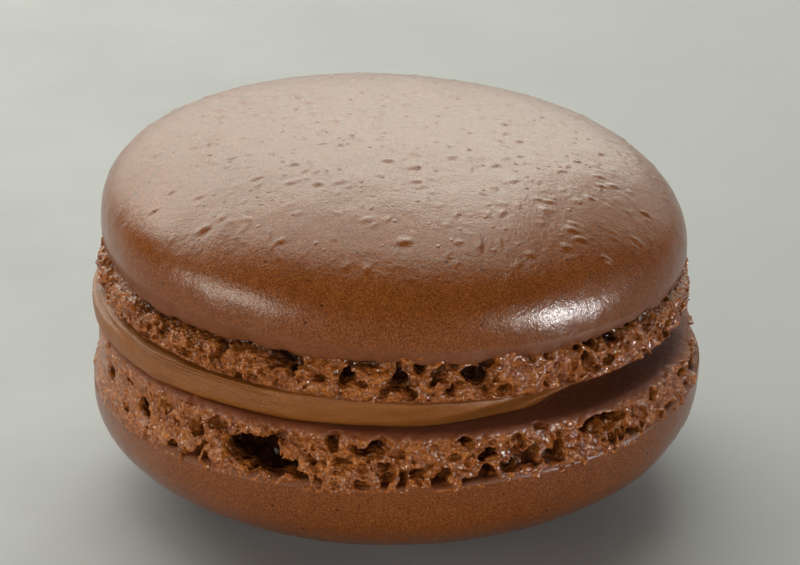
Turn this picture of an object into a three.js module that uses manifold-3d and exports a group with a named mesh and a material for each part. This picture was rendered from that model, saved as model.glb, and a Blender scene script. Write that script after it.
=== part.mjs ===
// A chocolate macaron lying as it is served: two baked shells with a layer of ganache between them.
// Each shell is one piece, a smooth dome on a frothy foot full of baked-open bubbles. The lower
// shell lies on its dome and the upper one leans a little to the right, so the gap between them
// narrows there. Millimetres, +Z up, origin on the table under the middle.
// Bearings are degrees round the macaron from its front (-Y), positive towards its right (+X).

import * as THREE from "three";
import { mergeVertices } from "three/addons/utils/BufferGeometryUtils.js";
import Module from "manifold-3d";

const wasm = await Module();
wasm.setup();

// Driving dimensions

const UPPER_RADIUS = 21.9; // widest ring of the upper dome
const UPPER_FOOT_RADIUS = 22.15;
const UPPER_SHIFT = -0.15; // the shells' middles lie a little to the left and right of the origin
const LOWER_RADIUS = 23.0; // widest ring of the lower dome
const LOWER_FOOT_RADIUS = 22.65;
const LOWER_SHIFT = 0.2;

const REST_RADIUS = 5.0; // flat spot that the lower dome stands on
const LOWER_WIDEST = 9.15; // heights above the table at the middle
const LOWER_SEAM = 9.6;
const LOWER_RIM = 13.05;
const UPPER_RIM = 15.5;
const UPPER_SEAM = 18.4;
const UPPER_WIDEST = 19.6;
const TOP = 27.95;

const UPPER_FLATNESS = 2.1; // the domes are superellipses: over 2 is flatter on top
const UPPER_FULLNESS = 2.9; // and over 2 is steeper at the edge
const LOWER_FLATNESS = 2.2;
const LOWER_FULLNESS = 2.7;

const EDGE_TUCK = 0.5; // how far a dome draws in between its widest ring and its seam
const GROOVE = 1.0; // how far the foot draws in under the dome's edge
const EDGE_OVER_SEAM = 0.1; // where the tucked-in edge ends, past the seam
const RIM_ROUNDING = 0.7;
const RIM_INSET = 0.42; // how far the foot's last row draws in before the rounded rim
const ROUGHNESS = 0.24; // crags of the baked foot
const FOOT_SPAN = [0.06, 0.97]; // shares of the way from seam to rim that the rough wall covers
const LAYER_GAP = 0.1; // between the ganache and each shell
const SQUEEZE = 0.45; // how far the ganache's edge bulges past its faces

const COLUMNS = 84; // round each shell
const FILLING_COLUMNS = 60;
const DOME_ROWS = 9;
const FOOT_ROWS = 6;
const CROWN_MIDDLE = 0.14; // the upper dome's first ring, as a share of its radius
const LARGE_BUBBLE = 3; // square millimetres from which a bubble gets finer faces

// How far the ganache reaches at each bearing. It comes out past the shells at the left and stops
// well short of them at the right.
const FILLING_REACH = [
  [-150, 22.0],
  [-90, 22.8],
  [-55, 22.6],
  [-30, 22.0],
  [0, 21.4],
  [25, 20.3],
  [45, 18.4],
  [80, 17.4],
  [120, 18.6],
  [165, 21.4],
];

// Baked-open bubbles that show from the front: bearing, share of the foot's height counted from
// the dome, width round the shell, height and depth.
const LOWER_BUBBLES = [
  [-25.5, 0.5, 3.4, 1.7, 4.2],
  [-21.5, 0.36, 3.4, 1.3, 4.0],
  [-33, 0.72, 0.9, 0.7, 1.4],
  [-5.5, 0.7, 3.0, 0.9, 2.2],
  [-2.6, 0.3, 1.2, 1.1, 1.6],
  [3.5, 0.22, 1.3, 0.8, 1.4],
  [16.5, 0.5, 1.6, 1.0, 2.2],
  [23.5, 0.3, 1.8, 0.7, 1.6],
  [37.5, 0.6, 2.2, 1.2, 2.4],
  [43, 0.62, 3.0, 0.8, 2.2],
  [55.5, 0.66, 1.3, 1.0, 1.6],
];
const UPPER_BUBBLES = [
  [-33, 0.3, 1.1, 1.1, 1.6],
  [-21.5, 0.12, 3.0, 0.9, 2.2],
  [-13.5, 0.45, 1.1, 0.7, 1.4],
  [-9, 0.4, 1.2, 1.4, 2.0],
  [0.8, 0.35, 1.7, 1.6, 2.2],
  [8, 0.2, 1.6, 0.8, 1.6],
  [15.5, 0.3, 2.3, 1.4, 2.4],
  [39, 0.4, 1.0, 1.0, 1.6],
  [47, 0.2, 2.6, 0.8, 1.8],
];
const SEEN_FROM = -45; // the listed bubbles cover the bearings from here
const SEEN_TO = 62; // to here, and drawn ones the rest
const DRAWN_BUBBLES = 15; // on each foot
const BUBBLE_TURN = 25; // most that a bubble leans, in degrees

// Small helpers

const radians = THREE.MathUtils.degToRad;
const mix = THREE.MathUtils.lerp;

// A repeatable stream of numbers from 0 to 1.
function seededStream(seed) {
  let state = seed >>> 0;
  return () => {
    state = (state + 0x6d2b79f5) >>> 0;
    let t = Math.imul(state ^ (state >>> 15), 1 | state);
    t = (t + Math.imul(t ^ (t >>> 7), 61 | t)) ^ t;
    return ((t ^ (t >>> 14)) >>> 0) / 4294967296;
  };
}

// Height of a plane that leans, with its slopes towards the right and towards the back in degrees.
function leaningPlane(height, right, back) {
  const slopeX = Math.tan(radians(right));
  const slopeY = Math.tan(radians(back));
  return (x, y) => height + slopeX * x + slopeY * y;
}

// Height of a superellipse dome at a radius, as a share of its full height.
function domeShare(radiusShare, flatness, fullness) {
  return Math.pow(1 - Math.pow(radiusShare, flatness), 1 / fullness);
}

// Radii of a dome's rows, as shares of its widest radius, closer together towards its edge.
function domeRadii(from, rows) {
  return Array.from({ length: rows }, (_, i) => {
    const turn = mix(Math.asin(from), Math.PI / 2, i / (rows - 1));
    return Math.sin(turn);
  });
}

// Planes that the parts of the macaron follow, with their slopes to the right and to the back

const lowerWidest = leaningPlane(LOWER_WIDEST, 1.6, 0);
const lowerSeam = leaningPlane(LOWER_SEAM, 1.2, 0);
const lowerRim = leaningPlane(LOWER_RIM, -1.45, -0.5);
const upperRim = leaningPlane(UPPER_RIM, -2.4, 0.6);
const upperSeam = leaningPlane(UPPER_SEAM, -1.9, 0.3);
const upperWidest = leaningPlane(UPPER_WIDEST, -3.0, -0.25);

// Surfaces of revolution whose rows may wander

// A closed mesh from rows of points. Each row is a function of the column that gives a point, and
// the first and last rows are single points on the axis.
function closedRows(rows, columns) {
  const positions = [];
  const index = [];
  const first = rows[0](0);
  const last = rows[rows.length - 1](0);
  const rings = rows.slice(1, -1);
  positions.push(...first);
  for (const ring of rings) {
    for (let c = 0; c < columns; c++) positions.push(...ring(c));
  }
  positions.push(...last);
  const at = (ring, c) => 1 + ring * columns + (c % columns);
  const end = 1 + rings.length * columns;
  for (let c = 0; c < columns; c++) {
    index.push(0, at(0, c + 1), at(0, c));
    index.push(end, at(rings.length - 1, c), at(rings.length - 1, c + 1));
  }
  for (let ring = 0; ring < rings.length - 1; ring++) {
    for (let c = 0; c < columns; c++) {
      const a = at(ring, c);
      const b = at(ring, c + 1);
      const d = at(ring + 1, c);
      const e = at(ring + 1, c + 1);
      if ((ring + c) % 2) index.push(a, b, e, a, e, d);
      else index.push(a, b, d, b, e, d);
    }
  }
  const geometry = new THREE.BufferGeometry();
  geometry.setAttribute("position", new THREE.Float32BufferAttribute(positions, 3));
  geometry.setIndex(index);
  return geometry;
}

// A place at a bearing and radius, from a middle that is shifted along X.
function placeAt(bearing, radius, shift) {
  return [shift + radius * Math.sin(radians(bearing)), -radius * Math.cos(radians(bearing))];
}

// A ring of points whose radius may depend on the bearing and whose height depends on the place.
function ring(columns, shift, radiusAt, heightAt) {
  return (column) => {
    const bearing = (360 * column) / columns - 180;
    const [x, y] = placeAt(bearing, radiusAt(bearing, column), shift);
    return [x, y, heightAt(x, y)];
  };
}

// Solids to and from the boolean library

function toSolid(geometry) {
  const bare = new THREE.BufferGeometry();
  bare.setAttribute("position", geometry.getAttribute("position"));
  if (geometry.index) bare.setIndex(geometry.index);
  const merged = mergeVertices(bare, 1e-4);
  return new wasm.Manifold(
    new wasm.Mesh({
      numProp: 3,
      vertProperties: new Float32Array(merged.getAttribute("position").array),
      triVerts: new Uint32Array(merged.index.array),
    }),
  );
}

// The largest body of a solid as a geometry, without any crumb that a cut left loose.
function toGeometry(solid) {
  const bodies = solid.decompose();
  bodies.sort((a, b) => b.volume() - a.volume());
  const mesh = bodies[0].getMesh();
  const geometry = new THREE.BufferGeometry();
  geometry.setAttribute("position", new THREE.BufferAttribute(mesh.vertProperties, 3));
  geometry.setIndex(new THREE.BufferAttribute(mesh.triVerts, 1));
  return geometry;
}

// Bubbles

// Bubbles for the bearings that the list leaves out, of the same kinds as the listed ones.
function drawnBubbles(stream) {
  const round = 360 - (SEEN_TO - SEEN_FROM);
  return Array.from({ length: DRAWN_BUBBLES }, (_, i) => {
    const bearing = SEEN_TO + (round * (i + 0.2 + 0.6 * stream())) / DRAWN_BUBBLES;
    const share = mix(0.2, 0.65, stream());
    const width = mix(1.1, 3.2, stream() ** 2);
    return [bearing, share, width, mix(0.8, 1.4, stream()), mix(1.6, 2.6, stream())];
  });
}

// One bubble as an uneven ball whose middle lies at the foot's surface.
function bubbleSolid([bearing, share, width, height, depth], foot, stream) {
  const [x, y] = placeAt(bearing, foot.radius, foot.shift);
  const z = mix(foot.seam(x, y), foot.rim(x, y), share);
  const ball = new THREE.IcosahedronGeometry(0.5, width * height > LARGE_BUBBLE ? 2 : 1);
  const turn = new THREE.Matrix4().makeRotationY(radians(BUBBLE_TURN * (2 * stream() - 1)));
  const size = new THREE.Matrix4().makeScale(width, depth * 2, height);
  const face = new THREE.Matrix4().makeRotationZ(radians(bearing));
  const place = new THREE.Matrix4().makeTranslation(x, y, z);
  ball.applyMatrix4(place.multiply(face).multiply(turn).multiply(size));
  return toSolid(ball);
}

function withBubbles(shell, listed, foot, seed) {
  const stream = seededStream(seed);
  const bubbles = [...listed, ...drawnBubbles(stream)];
  const cuts = bubbles.map((bubble) => bubbleSolid(bubble, foot, stream));
  return toSolid(shell).subtract(wasm.Manifold.union(cuts));
}

// Shells

const upperFoot = {
  radius: UPPER_FOOT_RADIUS,
  shift: UPPER_SHIFT,
  seam: upperSeam,
  rim: upperRim,
};
const lowerFoot = {
  radius: LOWER_FOOT_RADIUS,
  shift: LOWER_SHIFT,
  seam: lowerSeam,
  rim: lowerRim,
};

// Rows of the foot's outer wall from the dome's edge to the rim, rough all over.
function footRows(foot, stream) {
  return Array.from({ length: FOOT_ROWS }, (_, i) => {
    const share = i / (FOOT_ROWS - 1);
    const rough = Array.from({ length: COLUMNS }, () => ROUGHNESS * (2 * stream() - 1));
    const drawnIn = share === 0 ? GROOVE : share === 1 ? RIM_INSET : 0;
    const radiusAt = (_bearing, column) => foot.radius - drawnIn + rough[column];
    const onWall = mix(...FOOT_SPAN, share);
    const heightAt = (x, y) => mix(foot.seam(x, y), foot.rim(x, y), onWall);
    return ring(COLUMNS, foot.shift, radiusAt, heightAt);
  });
}

// Rows of a shell's flat inner face, from its rim to its middle.
function innerFaceRows(foot) {
  const radii = [foot.radius - RIM_ROUNDING * 2, foot.radius * 0.7, foot.radius * 0.35];
  return [
    ...radii.map((radius) => ring(COLUMNS, foot.shift, () => radius, foot.rim)),
    () => [foot.shift, 0, foot.rim(foot.shift, 0)],
  ];
}

// A dome's rows from its middle to its widest ring, then the edge tucked in to its seam.
function domeRows(radius, shift, from, surface, edgeHeight) {
  const rings = domeRadii(from, DOME_ROWS).map((share) =>
    ring(COLUMNS, shift, () => share * radius, surface),
  );
  const edge = ring(COLUMNS, shift, () => radius - EDGE_TUCK, edgeHeight);
  return [() => [shift, 0, surface(shift, 0)], ...rings, edge];
}

function upperShell() {
  const height = TOP - UPPER_WIDEST;
  const crown = (x, y) => {
    const share = Math.min(1, Math.hypot(x - UPPER_SHIFT, y) / UPPER_RADIUS);
    return upperWidest(x, y) + height * domeShare(share, UPPER_FLATNESS, UPPER_FULLNESS);
  };
  const edgeHeight = (x, y) => upperSeam(x, y) + EDGE_OVER_SEAM;
  const rows = [
    ...domeRows(UPPER_RADIUS, UPPER_SHIFT, CROWN_MIDDLE, crown, edgeHeight),
    ...footRows(upperFoot, seededStream(11)),
    ...innerFaceRows(upperFoot),
  ];
  const shell = closedRows(rows.reverse(), COLUMNS);
  return withBubbles(shell, UPPER_BUBBLES, upperFoot, 23);
}

function lowerShell() {
  const restShare = REST_RADIUS / LOWER_RADIUS;
  const depthAtRest = domeShare(restShare, LOWER_FLATNESS, LOWER_FULLNESS);
  const bowl = (x, y) => {
    const share = Math.min(1, Math.hypot(x - LOWER_SHIFT, y) / LOWER_RADIUS);
    const depth = domeShare(share, LOWER_FLATNESS, LOWER_FULLNESS) / depthAtRest;
    return lowerWidest(x, y) * (1 - Math.min(1, depth));
  };
  const edgeHeight = (x, y) => lowerSeam(x, y) - EDGE_OVER_SEAM;
  const rows = [
    ...domeRows(LOWER_RADIUS, LOWER_SHIFT, restShare, bowl, edgeHeight),
    ...footRows(lowerFoot, seededStream(31)),
    ...innerFaceRows(lowerFoot),
  ];
  const shell = closedRows(rows, COLUMNS);
  return withBubbles(shell, LOWER_BUBBLES, lowerFoot, 47);
}

// Filling

// The ganache's reach at a bearing, eased between the listed ones.
function fillingReach(bearing) {
  const last = FILLING_REACH.length - 1;
  const around = [
    [FILLING_REACH[last][0] - 360, FILLING_REACH[last][1]],
    ...FILLING_REACH,
    [FILLING_REACH[0][0] + 360, FILLING_REACH[0][1]],
  ];
  const next = around.findIndex(([at]) => at >= bearing);
  const [fromAt, from] = around[Math.max(0, next - 1)];
  const [toAt, to] = around[Math.max(1, next)];
  return mix(from, to, THREE.MathUtils.smoothstep(bearing, fromAt, toAt));
}

function filling() {
  const under = (x, y) => lowerRim(x, y) + LAYER_GAP;
  const over = (x, y) => upperRim(x, y) - LAYER_GAP;
  // Shares of the layer's height, and how far its edge draws in there.
  const bulge = [
    [0, -SQUEEZE],
    [0.2, -SQUEEZE * 0.25],
    [0.5, 0],
    [0.8, -SQUEEZE * 0.15],
    [1, -SQUEEZE * 0.7],
  ];
  const wall = bulge.map(([share, out]) =>
    ring(
      FILLING_COLUMNS,
      0,
      (bearing) => fillingReach(bearing) + out,
      (x, y) => mix(under(x, y), over(x, y), share),
    ),
  );
  const face = (share, level) =>
    ring(FILLING_COLUMNS, 0, (bearing) => share * fillingReach(bearing), level);
  const rows = [
    () => [0, 0, under(0, 0)],
    face(0.5, under),
    face(0.85, under),
    ...wall,
    face(0.85, over),
    face(0.5, over),
    () => [0, 0, over(0, 0)],
  ];
  return toSolid(closedRows(rows, FILLING_COLUMNS));
}

// Materials and assembly

function bakedShell() {
  return new THREE.MeshStandardMaterial({ color: 0x7a4a2c, roughness: 0.55, metalness: 0 });
}

function ganache() {
  return new THREE.MeshStandardMaterial({ color: 0x8a5c34, roughness: 0.5, metalness: 0 });
}

function piece(name, solid, material) {
  const mesh = new THREE.Mesh(toGeometry(solid), material);
  mesh.name = name;
  return mesh;
}

const macaron = new THREE.Group();
macaron.add(
  piece("shell_lower", lowerShell(), bakedShell()),
  piece("filling", filling(), ganache()),
  piece("shell_upper", upperShell(), bakedShell()),
);

export default macaron;
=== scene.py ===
"""A chocolate macaron in close-up: smooth domes, frothy feet and a layer of ganache.

Lengths in the making of shapes are millimetres, as in the part's own source, and become metres when
a mesh is made. Bearings are degrees round the macaron from its front (-Y), positive towards +X.
"""

import math

import bpy
import numpy as np
import openvdb
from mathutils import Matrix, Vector

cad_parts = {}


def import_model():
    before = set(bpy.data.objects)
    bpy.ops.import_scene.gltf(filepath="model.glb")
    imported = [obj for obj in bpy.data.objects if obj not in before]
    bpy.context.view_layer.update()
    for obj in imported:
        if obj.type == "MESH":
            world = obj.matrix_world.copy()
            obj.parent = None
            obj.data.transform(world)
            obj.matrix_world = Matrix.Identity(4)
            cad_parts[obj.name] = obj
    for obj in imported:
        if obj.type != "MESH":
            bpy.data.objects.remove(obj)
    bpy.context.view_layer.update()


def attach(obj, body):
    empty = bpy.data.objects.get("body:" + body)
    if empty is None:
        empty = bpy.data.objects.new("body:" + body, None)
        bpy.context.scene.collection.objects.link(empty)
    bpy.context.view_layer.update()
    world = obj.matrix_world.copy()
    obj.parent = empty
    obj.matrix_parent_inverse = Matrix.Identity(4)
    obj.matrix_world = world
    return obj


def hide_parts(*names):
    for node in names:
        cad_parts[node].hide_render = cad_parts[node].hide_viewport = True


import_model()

MM = 0.001

# Sizes that the solids have too

UPPER_RADIUS, UPPER_FOOT_RADIUS, UPPER_SHIFT = 21.9, 22.15, -0.15
LOWER_RADIUS, LOWER_FOOT_RADIUS, LOWER_SHIFT = 23.0, 22.65, 0.2
REST_RADIUS = 5.0
TOP = 27.95
UPPER_FLATNESS, UPPER_FULLNESS = 2.1, 2.9
LOWER_FLATNESS, LOWER_FULLNESS = 2.2, 2.7

# Sizes that only the dressed part has

UPPER_DROP, LOWER_DROP = 1.1, 0.45  # from each dome's widest line to its seam
EDGE_TUCK = 0.5  # how far the crust's edge draws in on that way
EDGE_RETURN = 1.6  # how far the skin then runs inwards, behind the foot
SEAM_SHORT = 0.1  # how far each crust's edge ends short of the seam's plane
CORE_RADIUS, CORE_SHORT = 15.5, 0.4  # of a crust's core, and how far it ends short of the ganache
CONTACT = 0.02  # between the ganache and the faces that it lies on

# Finish of the meshes

CRUST_CELLS = 290  # across each dome
VOXEL = 0.153
FILLING_COLUMNS = 720
FILLING_ROWS = 64


def leaning(height, right, back):
    """Height of a plane that leans, with its slopes to the right and to the back in degrees."""
    slope_x, slope_y = math.tan(math.radians(right)), math.tan(math.radians(back))
    return lambda x, y: height + slope_x * x + slope_y * y


lower_widest = leaning(9.15, 1.6, 0)
lower_seam = leaning(9.6, 1.2, 0)
lower_rim = leaning(13.05, -1.45, -0.5)
upper_rim = leaning(15.5, -2.4, 0.6)
upper_seam = leaning(18.4, -1.9, 0.3)
upper_widest = leaning(19.6, -3.0, -0.25)

# How far the ganache reaches at each bearing, as in the solids
REACH_AT = [-195, -150, -90, -55, -30, 0, 25, 45, 80, 120, 165, 210]
REACH = [21.4, 22.0, 22.8, 22.6, 22.0, 21.4, 20.3, 18.4, 17.4, 18.6, 21.4, 22.0]


# Noise

CRUST_SEED, UPPER_FOOT_SEED, LOWER_FOOT_SEED, GANACHE_SEED = 11, 100, 200, 71
WRAP = 48  # cells after which the noise repeats
TURN = np.array([[0.36, 0.48, -0.8], [-0.8, 0.6, 0.0], [0.48, 0.64, 0.6]], np.float32)


def noise(points, size, seed):
    """Smooth noise from -1 to 1 at an array of points, with lumps about size apart."""
    lattice = np.random.default_rng(seed).uniform(-1, 1, (WRAP, WRAP, WRAP)).astype(np.float32)
    place = points.astype(np.float32) @ TURN / np.float32(size) + np.float32(100.3 + seed)
    cell = np.floor(place).astype(np.int32)
    t = place - cell
    t = t * t * t * (t * (t * 6 - 15) + 10)
    ends = [cell % WRAP, (cell + 1) % WRAP]
    weights = [1 - t, t]
    total = 0
    for corner in range(8):
        bits = [corner >> axis & 1 for axis in range(3)]
        at = tuple(ends[bit][..., axis] for axis, bit in enumerate(bits))
        weight = 1
        for axis, bit in enumerate(bits):
            weight = weight * weights[bit][..., axis]
        total = total + lattice[at] * weight
    return total


def smoothstep(value, low, high):
    t = np.clip((value - low) / (high - low), 0, 1)
    return t * t * (3 - 2 * t)


def bearing_of(x, y, shift):
    return np.degrees(np.arctan2(x - shift, -y))


def around(bearing, middle, half):
    """1 at a bearing, falling off to both sides."""
    return np.exp(-((((bearing - middle + 180) % 360 - 180) / half) ** 2))


def reach_at(bearing):
    """The ganache's reach at a bearing, eased between the listed ones."""
    at = np.asarray(REACH_AT, float)
    reach = np.asarray(REACH, float)
    after = np.clip(np.searchsorted(at, bearing), 1, len(at) - 1)
    t = smoothstep(bearing, at[after - 1], at[after])
    return reach[after - 1] + (reach[after] - reach[after - 1]) * t


# Meshes

def mesh_piece(name, points, faces, material, node):
    """A smooth piece of the macaron from points in millimetres, in place of the node's plain solid."""
    mesh = bpy.data.meshes.new(name)
    points = np.asarray(points, np.float32)
    faces = [block for block in faces if len(block)]
    corners = np.concatenate([block.ravel() for block in faces]).astype(np.int32)
    counts = np.concatenate([np.full(len(block), block.shape[1]) for block in faces]).astype(np.int32)
    starts = np.concatenate([[0], np.cumsum(counts)[:-1]]).astype(np.int32)
    mesh.vertices.add(len(points))
    mesh.vertices.foreach_set("co", (points * MM).ravel())
    mesh.loops.add(len(corners))
    mesh.loops.foreach_set("vertex_index", corners)
    mesh.polygons.add(len(counts))
    mesh.polygons.foreach_set("loop_start", starts)
    mesh.polygons.foreach_set("loop_total", counts)
    mesh.polygons.foreach_set("use_smooth", np.ones(len(counts), bool))
    mesh.update(calc_edges=True)
    mesh.validate()
    mesh.materials.append(material)
    piece = bpy.data.objects.new(name, mesh)
    bpy.context.scene.collection.objects.link(piece)
    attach(piece, "root")
    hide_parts(node)
    return piece


def set_attribute(piece, name, values):
    attribute = piece.data.attributes.new(name, "FLOAT", "POINT")
    attribute.data.foreach_set("value", np.asarray(values, np.float32))


# Crusts: a square grid laid on a disc, with the disc's radius running down a meridian

def disc_grid(cells):
    """Rings from 0 to 1 and directions of a square grid laid on a disc, with its quads."""
    line = np.linspace(-1, 1, cells + 1)
    u, v = np.meshgrid(line, line, indexing="ij")
    wide = np.abs(u) >= np.abs(v)
    with np.errstate(divide="ignore", invalid="ignore"):
        turn = np.where(wide, math.pi / 4 * v / u, math.pi / 2 - math.pi / 4 * u / v)
    turn = np.nan_to_num(turn)
    sign = np.where(wide, np.sign(u), np.sign(v))
    ring = np.maximum(np.abs(u), np.abs(v))
    index = np.arange((cells + 1) ** 2).reshape(cells + 1, cells + 1)
    quads = np.stack([index[:-1, :-1], index[1:, :-1], index[1:, 1:], index[:-1, 1:]], -1)
    return ring, sign * np.cos(turn), sign * np.sin(turn), quads.reshape(-1, 4)


def meridian(radius, height, flatness, fullness, drop):
    """A dome's meridian: share of its length, radius, share of its height, and share of its drop."""
    t = np.linspace(0, math.pi / 2, 1500)
    r = radius * np.sin(t) ** (2 / flatness)
    up = np.cos(t) ** (2 / fullness)
    k = np.linspace(0, math.pi / 2, 200)[1:]
    edge_r = radius - EDGE_TUCK * (1 - np.cos(k))
    edge_down = np.sin(k)
    inner_r = np.linspace(radius - EDGE_TUCK, radius - EDGE_TUCK - EDGE_RETURN, 60)[1:]
    r_all = np.concatenate([r, edge_r, inner_r])
    up_all = np.concatenate([up, np.zeros(len(edge_r) + len(inner_r))])
    down_all = np.concatenate([np.zeros(len(r)), edge_down, np.full(len(inner_r), 1.0)])
    length = np.hypot(np.diff(r_all), np.diff(up_all * height - down_all * drop))
    along = np.concatenate([[0], np.cumsum(length)])
    return along / along[-1], r_all, up_all, down_all


def grid_normals(points, shape):
    """Normals of a grid of points, from the differences between neighbours."""
    grid = points.reshape(*shape, 3)
    normals = np.cross(np.gradient(grid, axis=0), np.gradient(grid, axis=1))
    normals /= np.linalg.norm(normals, axis=-1, keepdims=True) + 1e-12
    return normals.reshape(-1, 3)


def bump_heights(points, bumps):
    """Height of bumps with a shallow pit in front, each with its place, width, height, stretch and turn."""
    total = np.zeros(len(points))
    for x, y, width, height, stretch, turn in bumps:
        dx, dy = points[:, 0] - x, points[:, 1] - y
        near = np.flatnonzero((np.abs(dx) < 2 * width) & (np.abs(dy) < 2 * width))
        c, s = math.cos(turn), math.sin(turn)
        along = (dx[near] * c + dy[near] * s) / (width * stretch / 2)
        across = (-dx[near] * s + dy[near] * c) / (width / stretch / 2)
        total[near] += height * np.exp(-((along**2 + across**2) ** 1.5))
        total[near] -= PIT_DEPTH * height * np.exp(-((along**2 + (across + PIT_PLACE) ** 2) ** 1.2))
    return total


# Marks on the top of the upper dome: x, y, width and height, before the scales that follow the list
MARKS = [
    (-5.6, -10.2, 1.2, 0.16),
    (-7.6, -9.9, 1.0, 0.13),
    (-13.6, -13.5, 1.4, 0.13),
    (-12.4, -13.0, 1.0, 0.10),
    (-16.3, -8.2, 1.1, 0.10),
    (-17.4, -9.6, 1.0, 0.10),
    (-8.0, -16.3, 0.9, 0.12),
    (-2.0, -14.6, 1.3, 0.10),
    (0.6, -16.6, 1.6, 0.15),
    (-0.6, -6.5, 1.2, 0.12),
    (1.4, -7.2, 1.2, 0.10),
    (-2.6, -3.2, 0.9, 0.09),
    (-1.2, -3.0, 1.2, 0.07),
    (-5.4, -3.9, 0.8, 0.08),
    (-7.2, -7.2, 0.8, 0.09),
    (-1.2, -8.8, 0.9, 0.08),
    (1.6, -9.2, 1.2, 0.10),
    (-14.2, -9.9, 1.2, 0.07),
    (-6.6, 4.6, 0.9, 0.10),
    (-5.1, 5.7, 1.0, 0.08),
    (4.1, -5.1, 1.2, 0.10),
    (13.4, -2.2, 1.0, 0.12),
    (14.9, -3.9, 1.0, 0.11),
    (15.0, -5.3, 1.0, 0.11),
    (12.1, -4.7, 0.9, 0.08),
    (11.0, -9.7, 1.0, 0.12),
    (10.7, -10.8, 1.3, 0.12),
    (12.6, -12.2, 1.5, 0.12),
    (13.2, -12.8, 1.1, 0.13),
    (12.2, -14.1, 1.1, 0.15),
    (15.1, -13.4, 1.0, 0.15),
    (18.2, -6.4, 1.0, 0.13),
    (17.4, -10.0, 1.0, 0.12),
    (9.5, -15.9, 1.0, 0.12),
    (3.6, -14.6, 1.0, 0.09),
    (4.4, -16.2, 1.0, 0.12),
]
MARK_WIDTH, MARK_HEIGHT, MARK_STRETCH, MARK_TURN = 0.52, 0.85, 1.3, 0.15
PIT_DEPTH, PIT_PLACE = 0.4, 1.3  # shares of a bump's height and half width


def scattered_bumps(count, radius, seed, widths, heights):
    """Bumps drawn over a disc, most of them near the smallest width and height."""
    stream = np.random.default_rng(seed)
    r = radius * np.sqrt(stream.random(count))
    a = 2 * math.pi * stream.random(count)
    size = stream.random(count) ** 2
    return [
        (
            r[i] * math.cos(a[i]),
            r[i] * math.sin(a[i]),
            widths[0] + (widths[1] - widths[0]) * size[i],
            heights[0] + (heights[1] - heights[0]) * size[i],
            1 + 0.5 * stream.random(),
            math.pi * stream.random(),
        )
        for i in range(count)
    ]


def crust(
    name, node, shift, radius, height_at, meridian_sizes, bumps, flip, core_rim, trim, soften, crown, look
):
    """A dome's skin, closed by a core that reaches through the foot to the ganache.

    trim draws the edge in by bearing, soften rounds the front shoulder, and crown is the share of the
    radius inside which the skin has small blisters.
    """
    ring, dx, dy, quads = disc_grid(CRUST_CELLS)
    along, r_all, up_all, down_all = meridian(radius, *meridian_sizes)
    r = np.interp(ring, along, r_all)
    up = np.interp(ring, along, up_all)
    down = np.interp(ring, along, down_all)
    bearing = bearing_of(dx, dy, 0)
    r = r - trim(bearing) * (r / radius) ** 3
    up = up ** (1 + soften * around(bearing, 0, 75))
    x, y = shift + r * dx, r * dy
    z = height_at(x, y, up, down)
    points = np.stack([x, y, z], -1).reshape(-1, 3)
    shape = ring.shape
    normals = grid_normals(points, shape)
    if flip:
        quads = quads[:, ::-1]
        normals = -normals
    fade = (1 - smoothstep(down, 0.4, 1.0)).ravel()
    swell = 0.11 * noise(points, 8.0, CRUST_SEED) + 0.045 * noise(points, 3.2, CRUST_SEED + 1)
    swell += 0.014 * noise(points, 1.1, CRUST_SEED + 2) + 0.009 * noise(points, 0.5, CRUST_SEED + 3)
    edge_wave = 0.12 * noise(points, 1.9, CRUST_SEED + 4) + 0.09 * noise(points, 0.8, CRUST_SEED + 5)
    swell += edge_wave * smoothstep(down, 0.2, 0.9).ravel() * 1.6
    relief = bump_heights(points, bumps)
    points = points + normals * ((swell + relief * fade)[:, None])
    points[:, 2] = np.maximum(points[:, 2], 0)
    # The core: two rings from the skin's open edge through the foot, then a flat cap.
    n = CRUST_CELLS + 1
    index = np.arange(n * n).reshape(n, n)
    border = np.concatenate([index[0, :-1], index[:-1, -1], index[-1, :0:-1], index[:0:-1, 0]])
    if not flip:
        border = border[::-1]
    edge = points[border]
    direction = edge[:, :2] - [shift, 0]
    direction /= np.linalg.norm(direction, axis=1, keepdims=True)
    flat = [shift, 0] + direction * CORE_RADIUS
    start = np.full(len(edge), np.mean(edge[:, 2]))
    end = core_rim(flat[:, 0], flat[:, 1])
    core = np.concatenate([np.column_stack([flat, start]), np.column_stack([flat, end])])
    centre = np.array([[shift, 0, core_rim(shift, 0)]])
    base, count = len(points), len(border)
    points = np.concatenate([points, core, centre])
    rings = [border, base + np.arange(count), base + count + np.arange(count)]
    walls = [np.stack([a, b, np.roll(b, -1), np.roll(a, -1)], -1) for a, b in zip(rings[:-1], rings[1:])]
    last = rings[-1]
    fan = np.stack([last, np.full(count, len(points) - 1), np.roll(last, -1)], -1)
    faces = [np.concatenate([quads, *walls]), fan]
    piece = mesh_piece(name, points, faces, look, node)
    set_attribute(piece, "edge", np.concatenate([down.ravel(), np.ones(len(core) + 1)]))
    crown_here = 1 - smoothstep((r / radius).ravel(), crown - 0.14, crown)
    set_attribute(piece, "crown", np.concatenate([crown_here, np.zeros(len(core) + 1)]))


# Feet: a ring of crumb, carved out of a block of small cells

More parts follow.
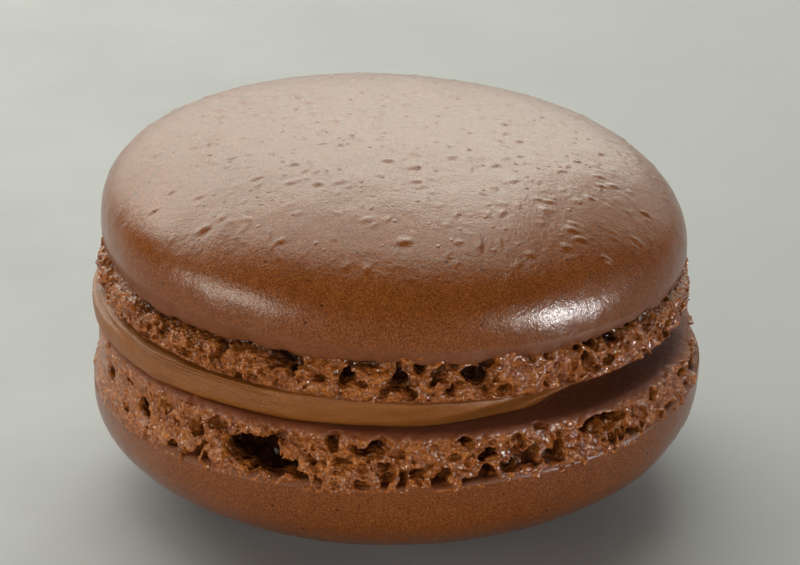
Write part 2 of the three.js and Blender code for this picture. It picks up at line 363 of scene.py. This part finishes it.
# The larger bubbles that show: bearing, share of the foot's height, width, height and depth
LOWER_BUBBLES = [
    (-28, 0.38, 3.8, 1.8, 4.2),
    (-23, 0.22, 3.5, 1.3, 4.0),
    (-33, 0.72, 0.9, 0.7, 1.4),
    (-5.5, 0.7, 3.0, 0.9, 2.2),
    (-2.6, 0.3, 1.2, 1.1, 1.6),
    (3.5, 0.22, 1.3, 0.8, 1.4),
    (16.5, 0.5, 1.6, 1.0, 2.2),
    (23.5, 0.3, 1.8, 0.7, 1.6),
    (37.5, 0.6, 2.2, 1.2, 2.4),
    (43, 0.62, 3.0, 0.8, 2.2),
    (55.5, 0.66, 1.3, 1.0, 1.6),
]
UPPER_BUBBLES = [
    (-33, 0.3, 1.1, 1.1, 1.6),
    (-21.5, 0.12, 3.0, 0.9, 2.2),
    (-13.5, 0.45, 1.1, 0.7, 1.4),
    (-9, 0.4, 1.2, 1.4, 2.0),
    (0.8, 0.35, 1.7, 1.6, 2.2),
    (8, 0.2, 1.6, 0.8, 1.6),
    (15.5, 0.3, 2.3, 1.4, 2.4),
    (39, 0.4, 1.0, 1.0, 1.6),
    (47, 0.2, 2.6, 0.8, 1.8),
]
SEEN_FROM, SEEN_TO = -45, 62
DRAWN_BUBBLES, UNDER_EDGE_BUBBLES, SMALL_BUBBLES = 15, 90, 1100
DEEP = 2.5  # a deeper bubble opens into a cave
CALM_LIMIT = 0.3  # the calm above which a foot has no bubbles under the crust's edge


def drawn_bubbles(stream):
    """Large bubbles for the bearings that the lists leave out."""
    span = 360 - (SEEN_TO - SEEN_FROM)
    found = []
    for i in range(DRAWN_BUBBLES):
        bearing = SEEN_TO + span * (i + 0.2 + 0.6 * stream.random()) / DRAWN_BUBBLES
        width = 1.1 + 2.1 * stream.random() ** 2
        share = 0.2 + 0.45 * stream.random()
        found.append((bearing, share, width, 0.8 + 0.6 * stream.random(), 1.6 + stream.random()))
    return found


def under_edge_bubbles(stream):
    """Bubbles along the seam, under the crust's edge."""
    found = []
    for _ in range(UNDER_EDGE_BUBBLES):
        bearing = 360 * stream.random()
        share = 0.2 * stream.random() ** 2
        found.append((bearing, share, 0.7 + 1.0 * stream.random(), 0.6 + 0.5 * stream.random(), 1.5))
    return found


def small_bubbles(stream):
    """Small bubbles all round, most of them near the smallest size."""
    found = []
    for _ in range(SMALL_BUBBLES):
        size = 0.26 + 0.75 * stream.random() ** 5.0
        found.append(
            (
                360 * stream.random(),
                0.02 + 0.9 * stream.random(),
                size * (1 + 0.8 * stream.random()),
                size,
                size * (0.8 + 0.9 * stream.random()),
            )
        )
    return found


def largest_part(count, faces):
    """True for the vertices of the mesh's largest connected part."""
    label = np.arange(count)
    faces = [block for block in faces if len(block)]
    a = np.concatenate([block.ravel() for block in faces])
    b = np.concatenate([np.roll(block, -1, axis=1).ravel() for block in faces])
    while True:
        low = np.minimum(label[a], label[b])
        before = label.copy()
        np.minimum.at(label, a, low)
        np.minimum.at(label, b, low)
        label = label[label]
        label = label[label]
        if (label == before).all():
            break
    names, sizes = np.unique(label, return_counts=True)
    return label == names[sizes.argmax()]


def foot(name, node, shift, radius, seam, rim, bubbles, trim, groove_at, calm_at, seed, look):
    """The frothy ring between a dome and the ganache.

    By bearing, trim draws it in, groove_at draws it in beside the seam, and calm_at smooths it.
    """
    stream = np.random.default_rng(seed)
    heights = [plane(x, y) for plane in (seam, rim) for x in (-24, 24) for y in (-24, 24)]
    low = np.array([-24.2, -24.2, min(heights) - 1.0])
    high = np.array([24.2, 24.2, max(heights) + 1.0])
    axes = [np.arange(a, b, VOXEL) for a, b in zip(low, high)]
    x, y = np.meshgrid(axes[0], axes[1], indexing="ij")
    r = np.hypot(x - shift, y)
    bearing = bearing_of(x, y, shift)
    inner = np.minimum(reach_at(bearing) - 1.3, radius - 2.2)
    for at, _share, width, _height, depth in bubbles:
        if depth > DEEP:
            gap = np.abs((bearing - at + 180) % 360 - 180) * math.radians(radius)
            inner -= 3.2 * np.exp(-((gap / (width * 0.9)) ** 4))
    inner = np.maximum(inner, 16.0)
    active = (r > inner - 3 * VOXEL) & (r < radius + 1.6)
    shape = tuple(len(a) for a in axes)
    z = axes[2][None, :]
    ax, ay = x[active][:, None], y[active][:, None]
    ar, ab, ai = r[active][:, None], bearing[active][:, None], inner[active][:, None]
    sign = 1.0 if rim(0, 0) > seam(0, 0) else -1.0
    height = sign * (z - seam(ax, ay))
    span = sign * (rim(ax, ay) - seam(ax, ay))
    share = height / span
    place = np.stack(np.broadcast_arrays(ax, ay, z), -1)
    crag = 0.34 * np.abs(noise(place, 1.3, seed)) + 0.36 * np.abs(noise(place, 0.62, seed + 1))
    crag += 0.17 * noise(place, 0.34, seed + 2) + 0.14 * noise(place, 3.0, seed + 3)
    crag = 0.2 + (crag - 0.2) * (1 - calm_at(ab))
    groove = groove_at(ab)
    wall = radius - 0.05 - trim(ab) + (crag - 0.2) * (1 - 0.6 * smoothstep(share, 0.8, 1.0))
    wall = wall - groove * (1 - smoothstep(share, 0.0, 0.32)) - 0.55 * smoothstep(share, 0.72, 1.06) ** 2
    side = ar - wall
    smooth_face = 0.05 * noise(place, 2.2, seed + 4)
    top = height - span + smooth_face
    soft = 0.3
    blend = np.clip(0.5 + 0.5 * (side - top) / soft, 0, 1)
    solid = top * (1 - blend) + side * blend + soft * blend * (1 - blend)
    solid = np.maximum(solid, -height - 0.7)
    solid = np.maximum(solid, ai - ar)
    field = np.full(shape, 0.5, np.float32)
    field[active] = np.clip(solid, -0.6, 0.6)
    # Coordinates bent by noise, so that the bubbles aren't round.
    bent = np.zeros((*shape, 3), np.float32)
    coarse = [0.34 * noise(place, 1.3, seed + 5 + axis) for axis in range(3)]
    fine = [0.22 * noise(place, 0.5, seed + 9 + axis) for axis in range(3)]
    bent[active] = place + np.stack([a + b for a, b in zip(coarse, fine)], -1)
    small = [bubble for bubble in small_bubbles(stream) if stream.random() > calm_at(bubble[0])]
    under_edge = [bubble for bubble in under_edge_bubbles(stream) if calm_at(bubble[0]) < CALM_LIMIT]
    every = [*bubbles, *drawn_bubbles(stream), *under_edge, *small]
    for number, (at, part, width, tall, depth) in enumerate(every):
        if depth > DEEP:
            width, tall = 1.22 * width, 1.35 * tall
        sin, cos = math.sin(math.radians(at)), math.cos(math.radians(at))
        out = radius + (0.1 if depth > 1.3 else 0.05)
        cx, cy = shift + out * sin, -out * cos
        centre = np.array([cx, cy, seam(cx, cy) + (rim(cx, cy) - seam(cx, cy)) * part])
        size = np.array([width / 2, depth, tall / 2])
        reach = size.max() + 0.45
        start = np.maximum(0, ((centre - reach - low) / VOXEL).astype(int))
        stop = ((centre + reach - low) / VOXEL).astype(int) + 1
        block = tuple(slice(a, b) for a, b in zip(start, stop))
        away = bent[block] - centre.astype(np.float32)
        lean = math.radians((8 if number < len(bubbles) else 30) * (2 * stream.random() - 1))
        across = away[..., 0] * cos + away[..., 1] * sin
        outward = away[..., 0] * sin - away[..., 1] * cos
        up = away[..., 2]
        along = across * math.cos(lean) + up * math.sin(lean)
        over = up * math.cos(lean) - across * math.sin(lean)
        ball = np.sqrt((along / size[0]) ** 2 + (outward / size[1]) ** 2 + (over / size[2]) ** 2) - 1
        ball *= size.min()
        field[block] = np.maximum(field[block], -ball)
    grid = openvdb.FloatGrid()
    grid.background = 0.5
    grid.copyFromArray(field.astype(float))
    points, triangles, quads = grid.convertToPolygons(isovalue=0.0, adaptivity=0.02)
    points = points * VOXEL + low
    faces = [triangles.astype(int), quads.astype(int)]
    keep = largest_part(len(points), faces)
    renumber = np.cumsum(keep) - 1
    faces = [renumber[block[keep[block[:, 0]]]][:, ::-1] for block in faces if len(block)]
    points = points[keep]
    piece = mesh_piece(name, points, faces, look, node)
    depth_in = radius - np.hypot(points[:, 0] - shift, points[:, 1])
    set_attribute(piece, "depth", np.clip(depth_in / 2.0, 0, 1))
    span_here = rim(points[:, 0], points[:, 1]) - seam(points[:, 0], points[:, 1])
    set_attribute(piece, "share", (points[:, 2] - seam(points[:, 0], points[:, 1])) / span_here)


# Ganache

def inner_ring(edge, inward, plane, lift):
    """A ring on a plane, inside an edge of the ganache."""
    x, y = inward * edge[:, 0], inward * edge[:, 1]
    return np.stack([x, y, plane(x, y) + lift], -1)


def filling(material):
    """The layer of ganache: rows from its lower to its upper edge, closed over both sides."""
    t = np.linspace(-1, 1, FILLING_ROWS)[:, None]
    bearing = np.linspace(-180, 180, FILLING_COLUMNS, endpoint=False)[None, :]
    b = np.radians(bearing)
    # Where it stops short at the right, its upper edge clings to the upper shell for longer.
    tail = smoothstep(t, -0.7, 1.0) * smoothstep(bearing, -10, 10) * (1 - smoothstep(bearing, 60, 80))
    r = reach_at(bearing - 20 * tail)
    r = r - 0.40 * np.clip(-t, 0, 1) ** 3 - 0.16 * np.clip(t, 0, 1) ** 4
    # A shelf at the left: the upper part draws in, behind a thin crumpled lip.
    shelf = around(bearing, -84, 17)
    r = r - 0.75 * shelf * smoothstep(t, 0.30, 0.50)
    r = r + 0.45 * shelf * np.exp(-(((t - 0.80) / 0.09) ** 2))
    # Two ridges, squeezed out against the upper foot at the left of the front.
    ridges = smoothstep(bearing, -66, -54) * (1 - smoothstep(bearing, -30, -20))
    upper_ridge = 0.20 * np.exp(-(((t - 0.92) / 0.05) ** 2))
    lower_ridge = 0.13 * np.exp(-(((t - 0.66) / 0.10) ** 2))
    r = r + ridges * (upper_ridge + lower_ridge)
    share = (0.35 * np.sin(t * math.pi / 2) + 0.65 * t + 1) / 2
    x, y = r * np.sin(b), -r * np.cos(b)
    under, over = lower_rim(x, y) + CONTACT, upper_rim(x, y) - CONTACT
    points = np.stack([x, y, under + (over - under) * share], -1)
    flat = points.reshape(-1, 3)
    wobble = 0.10 * noise(flat, 5.0, GANACHE_SEED)
    wobble = wobble + 0.06 * noise(flat * [1, 1, 0.4], 1.6, GANACHE_SEED + 1)
    wobble = wobble + 0.012 * noise(flat, 0.5, GANACHE_SEED + 2)
    crumple = 0.12 * noise(flat, 0.9, GANACHE_SEED + 3).reshape(r.shape) * shelf * smoothstep(t, 0.1, 0.5)
    outward = np.stack(np.broadcast_arrays(np.sin(b), -np.cos(b), 0 * b), -1)
    points += outward * (wobble.reshape(r.shape) + crumple)[..., None]
    lower_side = [inner_ring(points[0], inward, lower_rim, CONTACT) for inward in (0.6, 0.93)]
    upper_side = [inner_ring(points[-1], inward, upper_rim, -CONTACT) for inward in (0.93, 0.6)]
    rings = [*lower_side, *points, *upper_side]
    poles = [[0, 0, lower_rim(0, 0) + CONTACT], [0, 0, upper_rim(0, 0) - CONTACT]]
    stack = np.concatenate([*rings, poles])
    n = FILLING_COLUMNS
    ids = np.arange(len(rings) * n).reshape(len(rings), n)
    here, there = ids, np.roll(ids, -1, 1)
    quads = np.stack([here[:-1], there[:-1], there[1:], here[1:]], -1).reshape(-1, 4)
    first, last = np.full(n, len(stack) - 2), np.full(n, len(stack) - 1)
    below = np.stack([first, there[0], here[0]], -1)
    above = np.stack([last, here[-1], there[-1]], -1)
    faces = [quads, np.concatenate([below, above])]
    mesh_piece("ganache", stack, faces, material, "filling")


# Materials

class Nodes:
    """Adds nodes to a material. A value is a number, a colour or another node's output."""

    def __init__(self, name):
        self.material = bpy.data.materials.new(name)
        self.material.use_nodes = True
        self.tree = self.material.node_tree
        self.shader = self.tree.nodes["Principled BSDF"]

    def put(self, socket, value):
        if isinstance(value, bpy.types.NodeSocket):
            self.tree.links.new(value, socket)
        else:
            socket.default_value = value

    def add(self, kind, values, out=0, **settings):
        node = self.tree.nodes.new(kind)
        for key, value in settings.items():
            setattr(node, key, value)
        for key, value in values.items():
            self.put(node.inputs[key], value)
        return node.outputs[out]

    def millimetres(self):
        place = self.add("ShaderNodeTexCoord", {}, "Object")
        return self.add("ShaderNodeVectorMath", {0: place, "Scale": 1 / MM}, operation="SCALE")

    def noise(self, place, size, detail=2.0, rough=0.5):
        values = {"Vector": place, "Scale": 1 / size, "Detail": detail, "Roughness": rough}
        return self.add("ShaderNodeTexNoise", values, "Fac")

    def math(self, operation, a, b=0.0, clamp=False):
        return self.add("ShaderNodeMath", {0: a, 1: b}, operation=operation, use_clamp=clamp)

    def cells(self, place, size):
        """A node of random cells about size apart."""
        node = self.tree.nodes.new("ShaderNodeTexVoronoi")
        self.put(node.inputs["Vector"], place)
        self.put(node.inputs["Scale"], 1 / size)
        return node

    def chosen(self, cells, above):
        """1 in the cells that draw a number above the given one, else 0."""
        drawn = self.add("ShaderNodeSeparateColor", {0: cells.outputs["Color"]})
        return self.math("GREATER_THAN", drawn, above)

    def spread(self, value, low, high, to_low=0.0, to_high=1.0):
        values = {"Value": value, "From Min": low, "From Max": high, "To Min": to_low, "To Max": to_high}
        return self.add("ShaderNodeMapRange", values)

    def mix(self, share, a, b):
        node = self.tree.nodes.new("ShaderNodeMix")
        node.data_type = "RGBA"
        self.put(node.inputs["Factor"], share)
        self.put(node.inputs[6], a)
        self.put(node.inputs[7], b)
        return node.outputs[2]

    def attribute(self, name):
        return self.add("ShaderNodeAttribute", {}, "Fac", attribute_name=name)

    def bump(self, height, distance, strength=1.0, onto=None):
        values = {"Height": height, "Distance": distance * MM, "Strength": strength}
        if onto is not None:
            values["Normal"] = onto
        return self.add("ShaderNodeBump", values)

    def finish(self, **values):
        for key, value in values.items():
            self.put(self.shader.inputs[key.replace("_", " ")], value)
        return self.material


def crust_material():
    n = Nodes("cocoa_crust")
    place = n.millimetres()
    broad = n.noise(place, 6.0, 2)
    mottle = n.noise(place, 0.8, 3, 0.6)
    grain = n.noise(place, 0.125, 2, 0.75)
    tone = n.math("ADD", n.math("MULTIPLY", broad, 0.45), n.math("MULTIPLY", mottle, 0.55))
    colour = n.mix(n.spread(tone, 0.3, 0.7), (0.150, 0.041, 0.0080, 1), (0.21, 0.060, 0.0120, 1))
    colour = n.mix(n.spread(grain, 0.44, 0.68, 0.0, 0.9), colour, (0.065, 0.016, 0.003, 1))
    colour = n.mix(n.spread(grain, 0.46, 0.28, 0.0, 0.6), colour, (0.30, 0.100, 0.026, 1))
    # Pinholes: dark dots of painted shade, with no hollow in the mesh.
    pores = n.cells(place, 1.25)
    pinhole_shade = n.spread(pores.outputs["Distance"], 0.12, 0.06)
    pinhole_shade = n.math("MULTIPLY", pinhole_shade, n.chosen(pores, 0.62), clamp=True)
    colour = n.mix(pinhole_shade, colour, (0.045, 0.012, 0.003, 1))
    # Painted shade: the crust turns darker where its edge tucks in under the dome towards the foot; it is
    # also rougher there.
    edge = n.spread(n.attribute("edge"), 0.0, 0.3)
    colour = n.mix(n.math("MULTIPLY", edge, 0.5), colour, (0.12, 0.030, 0.005, 1))
    rough = n.math("ADD", n.spread(mottle, 0.3, 0.7, 0.18, 0.25), n.math("MULTIPLY", edge, 0.45))
    blisters = n.cells(place, 0.8)
    raised = n.spread(blisters.outputs["Distance"], 0.26, 0.08)
    raised = n.math("MULTIPLY", raised, n.chosen(blisters, 0.6), clamp=True)
    raised = n.math("MULTIPLY", n.attribute("crown"), raised)
    wrinkle = n.noise(place, 0.3, 2, 0.6)
    normal = n.bump(raised, 0.05)
    normal = n.bump(wrinkle, 0.032, onto=normal)
    normal = n.bump(grain, 0.020, onto=normal)
    return n.finish(Base_Color=colour, Roughness=rough, Normal=normal, IOR=1.42)


def crumb_material():
    n = Nodes("cocoa_crumb")
    place = n.millimetres()
    mottle = n.noise(place, 0.9, 3, 0.6)
    grain = n.noise(place, 0.17, 4, 0.7)
    away = n.cells(place, 0.36).outputs["Distance"]
    colour = n.mix(n.spread(mottle, 0.3, 0.7), (0.18, 0.041, 0.005, 1), (0.40, 0.124, 0.021, 1))
    colour = n.mix(n.spread(grain, 0.48, 0.70, 0.0, 0.75), colour, (0.07, 0.015, 0.0025, 1))
    colour = n.mix(n.spread(grain, 0.44, 0.26, 0.0, 0.8), colour, (0.52, 0.21, 0.075, 1))
    # Painted shade in the crevices between the crumb's beads, darker towards each cell's edge.
    colour = n.mix(n.spread(away, 0.50, 0.80, 0.0, 0.45), colour, (0.08, 0.017, 0.003, 1))
    # Painted glints: pale specks on a few cells stand in for sparkles of light on the crumb.
    glint_cells = n.cells(place, 0.32)
    painted_glint = n.spread(glint_cells.outputs["Distance"], 0.34, 0.12, 0.0, 0.8)
    painted_glint = n.math("MULTIPLY", painted_glint, n.chosen(glint_cells, 0.80))
    painted_glint = n.math("MULTIPLY", n.spread(n.noise(place, 1.9, 2), 0.44, 0.60), painted_glint)
    colour = n.mix(painted_glint, colour, (0.72, 0.50, 0.34, 1))
    # Painted shade: the crumb turns near black the deeper it lies inside the foot's wall, in bubbles and
    # caves.
    cavity_shade = n.spread(n.attribute("depth"), 0.20, 0.72, 0.0, 0.96)
    colour = n.mix(cavity_shade, colour, (0.014, 0.0035, 0.001, 1))
    # Painted shade: the flat top of each foot is darker where the ganache and the shell above overhang it;
    # it is also rougher and smoother there.
    flat = n.spread(n.attribute("share"), 0.84, 0.95)
    colour = n.mix(n.math("MULTIPLY", flat, 0.9), colour, (0.125, 0.025, 0.002, 1))
    rough = n.math("ADD", n.spread(grain, 0.3, 0.7, 0.07, 0.18), n.math("MULTIPLY", flat, 0.6))
    rugged = n.math("SUBTRACT", 1.0, n.math("MULTIPLY", flat, 0.85))
    bead = n.math("MULTIPLY", away, away)
    normal = n.bump(n.noise(place, 0.34, 1), 0.15, rugged)
    normal = n.bump(n.math("SUBTRACT", 1.0, bead), 0.13, rugged, normal)
    normal = n.bump(grain, 0.03, rugged, normal)
    return n.finish(Base_Color=colour, Roughness=rough, Normal=normal, IOR=1.46)


def ganache_material():
    n = Nodes("chocolate_ganache")
    place = n.millimetres()
    drawn_out = n.add("ShaderNodeVectorMath", {0: place, 1: (0.35, 0.35, 2.2)}, operation="MULTIPLY")
    streak = n.noise(drawn_out, 1.2, 3)
    grain = n.noise(place, 0.14, 2, 0.6)
    colour = n.mix(n.spread(streak, 0.3, 0.7), (0.175, 0.053, 0.0065, 1), (0.235, 0.079, 0.013, 1))
    colour = n.mix(n.spread(grain, 0.45, 0.75, 0.0, 0.5), colour, (0.12, 0.045, 0.012, 1))
    rough = n.spread(streak, 0.3, 0.7, 0.36, 0.5)
    normal = n.bump(streak, 0.05)
    normal = n.bump(n.noise(place, 0.45, 2, 0.6), 0.06, onto=normal)
    normal = n.bump(grain, 0.05, onto=normal)
    return n.finish(Base_Color=colour, Roughness=rough, Normal=normal, IOR=1.38)


def floor_material():
    n = Nodes("pale_floor")
    place = n.millimetres()
    cloud = n.noise(place, 18, 3, 0.55)
    colour = n.mix(n.spread(cloud, 0.3, 0.7), (0.295, 0.288, 0.290, 1), (0.345, 0.338, 0.340, 1))
    # Painted shade: the floor darkens towards +X, a painted fall-off of the light.
    across = n.add("ShaderNodeSeparateXYZ", {0: place})
    colour = n.mix(n.spread(across, -50, 60), colour, (0.245, 0.240, 0.246, 1))
    return n.finish(Base_Color=colour, Roughness=0.7)


# The macaron

def upper_height(x, y, up, down):
    """Height of the upper crust, from the shares of its dome and of its drop to the seam."""
    widest = upper_widest(x, y)
    return widest + (TOP - upper_widest(0, 0)) * up - down * (widest - upper_seam(x, y) - SEAM_SHORT)


def lower_height(x, y, up, down):
    """Height of the lower crust, whose crown is cut flat where it rests."""
    widest = lower_widest(x, y)
    rest = (1 - (REST_RADIUS / LOWER_RADIUS) ** LOWER_FLATNESS) ** (1 / LOWER_FULLNESS)
    return widest * (1 - np.minimum(1, up / rest)) + down * (lower_seam(x, y) - SEAM_SHORT - widest)


def upper_groove(bearing):
    """How far the foot draws in under the upper dome, deepest at the left of the front."""
    return 0.5 + 0.9 * around(bearing, -42, 28) + 0.7 * around(bearing, 62, 26)


def lower_groove(bearing):
    """Below 0, because this foot bulges beside the seam."""
    return -0.36 - 0.1 * around(bearing, -90, 45)


def lower_trim(bearing):
    """How far the lower dome stays short of a round one."""
    return 0.32 * around(bearing, 85, 40)


def lower_foot_trim(bearing):
    return 0.5 * around(bearing, 100, 45)


def lower_foot_calm(bearing):
    """How smooth the lower foot is: most of all at the left, where it fades into the crust."""
    return 0.85 * around(bearing, -80, 31)


def nowhere(bearing):
    return 0 * bearing


def upper_bumps():
    marks = [(x, y, MARK_WIDTH * w, MARK_HEIGHT * h, MARK_STRETCH, MARK_TURN) for x, y, w, h in MARKS]
    return marks + scattered_bumps(700, 20.8, 5, (0.32, 0.62), (0.025, 0.08))


crust_look = crust_material()
crumb_look = crumb_material()
ganache_look = ganache_material()

crust(
    "crust_upper",
    "shell_upper",
    shift=UPPER_SHIFT,
    radius=UPPER_RADIUS,
    height_at=upper_height,
    meridian_sizes=(TOP - upper_widest(0, 0), UPPER_FLATNESS, UPPER_FULLNESS, UPPER_DROP),
    bumps=upper_bumps(),
    flip=False,
    core_rim=lambda x, y: upper_rim(x, y) + CORE_SHORT,
    trim=nowhere,
    soften=0.18,
    crown=0.90,
    look=crust_look,
)
crust(
    "crust_lower",
    "shell_lower",
    shift=LOWER_SHIFT,
    radius=LOWER_RADIUS,
    height_at=lower_height,
    meridian_sizes=(lower_widest(0, 0), LOWER_FLATNESS, LOWER_FULLNESS, LOWER_DROP),
    bumps=scattered_bumps(90, 22.5, 6, (0.25, 0.7), (0.01, 0.05)),
    flip=True,
    core_rim=lambda x, y: lower_rim(x, y) - CORE_SHORT,
    trim=lower_trim,
    soften=0.0,
    crown=0.0,
    look=crust_look,
)
foot(
    "foot_upper",
    "shell_upper",
    shift=UPPER_SHIFT,
    radius=UPPER_FOOT_RADIUS,
    seam=upper_seam,
    rim=upper_rim,
    bubbles=UPPER_BUBBLES,
    trim=nowhere,
    groove_at=upper_groove,
    calm_at=nowhere,
    seed=UPPER_FOOT_SEED,
    look=crumb_look,
)
foot(
    "foot_lower",
    "shell_lower",
    shift=LOWER_SHIFT,
    radius=LOWER_FOOT_RADIUS,
    seam=lower_seam,
    rim=lower_rim,
    bubbles=LOWER_BUBBLES,
    trim=lower_foot_trim,
    groove_at=lower_groove,
    calm_at=lower_foot_calm,
    seed=LOWER_FOOT_SEED,
    look=crumb_look,
)
filling(ganache_look)


# Floor, lights and camera

FLOOR_HALF = 1.5  # metres
AIM_HEIGHT = 0.015  # metres, of the point that the lights face
CAMERA_ELEVATION, CAMERA_DISTANCE, CAMERA_TARGET = 23.4, 290.0, (0.30, 0, 15.25)
SENSOR_WIDTH, LENS, CLIP_START = 36.0, 173.25, 10.0
WORLD = 0.03  # brightness of the surroundings
WARM, CREAM, PLAIN = (0.96, 1.0, 0.90), (1, 0.96, 0.84), (1, 1, 1)

# name, bearing, elevation, distance, width, height, brightness, colour, whether it lights matt and glossy
LIGHTS = [
    ("window_main", -158, 40, 0.9, 1.17, 0.42, 5.1, WARM, True, True),
    ("window_low", -165, 14, 0.9, 1.17, 0.40, 2.2, WARM, True, True),
    ("window_high", -172, 69, 0.9, 0.90, 0.40, 3.9, WARM, True, True),
    ("window_right", 148, 27, 0.9, 0.58, 0.76, 1.1, WARM, True, True),
    ("window_left", -112, 38, 0.9, 0.50, 0.40, 2.4, WARM, True, True),
    ("card_left", -60, 10, 0.9, 0.50, 0.26, 9.5, CREAM, True, True),
    ("sheen_left", -66, 6, 0.9, 0.40, 0.16, 4.0, CREAM, False, True),
    ("lamp_right", 53, 7, 0.9, 0.26, 0.18, 16.0, CREAM, True, True),
    ("card_far_right", 88, 14, 0.9, 0.50, 0.38, 0.9, CREAM, True, True),
    ("glint_right", 69, 2, 0.9, 0.11, 0.04, 620.0, PLAIN, False, True),
    ("fill_front", 0, 4, 0.9, 1.20, 0.50, 3.0, PLAIN, True, False),
]


def floor():
    mesh = bpy.data.meshes.new("floor")
    corners = [(x * FLOOR_HALF, y * FLOOR_HALF, 0) for x, y in ((-1, -1), (1, -1), (1, 1), (-1, 1))]
    mesh.from_pydata(corners, [], [(0, 1, 2, 3)])
    mesh.materials.append(floor_material())
    made = bpy.data.objects.new("floor", mesh)
    bpy.context.scene.collection.objects.link(made)


def panel(name, bearing, elevation, distance, width, height, brightness, colour, matt, gloss):
    """A soft light that faces the macaron, with its size in metres and a white card's brightness as 1."""
    b, e = math.radians(bearing), math.radians(elevation)
    place = Vector((math.sin(b) * math.cos(e), -math.cos(b) * math.cos(e), math.sin(e))) * distance
    light = bpy.data.lights.new(name, "AREA")
    light.shape = "RECTANGLE"
    light.size, light.size_y = width, height
    light.energy = brightness * width * height * math.pi
    light.color = colour
    made = bpy.data.objects.new(name, light)
    made.location = place + Vector((0, 0, AIM_HEIGHT))
    made.rotation_euler = (-place).to_track_quat("-Z", "Y").to_euler()
    made.visible_camera = False
    made.visible_diffuse = matt
    made.visible_glossy = gloss
    bpy.context.scene.collection.objects.link(made)


def camera():
    elevation = math.radians(CAMERA_ELEVATION)
    away = Vector((0, -math.cos(elevation), math.sin(elevation))) * CAMERA_DISTANCE
    made = bpy.data.objects.new("camera", bpy.data.cameras.new("camera"))
    made.data.sensor_width = SENSOR_WIDTH
    made.data.lens = LENS
    made.data.clip_start = CLIP_START * MM
    made.location = (Vector(CAMERA_TARGET) + away) * MM
    made.rotation_euler = (math.pi / 2 - elevation, 0, 0)
    bpy.context.scene.collection.objects.link(made)
    bpy.context.scene.camera = made


def world():
    made = bpy.data.worlds.new("studio")
    made.use_nodes = True
    background = made.node_tree.nodes["Background"]
    background.inputs["Color"].default_value = (1, 1, 1, 1)
    background.inputs["Strength"].default_value = WORLD
    bpy.context.scene.world = made


floor()
for light in LIGHTS:
    panel(*light)
camera()
world()
bpy.context.scene.view_settings.view_transform = "Standard"
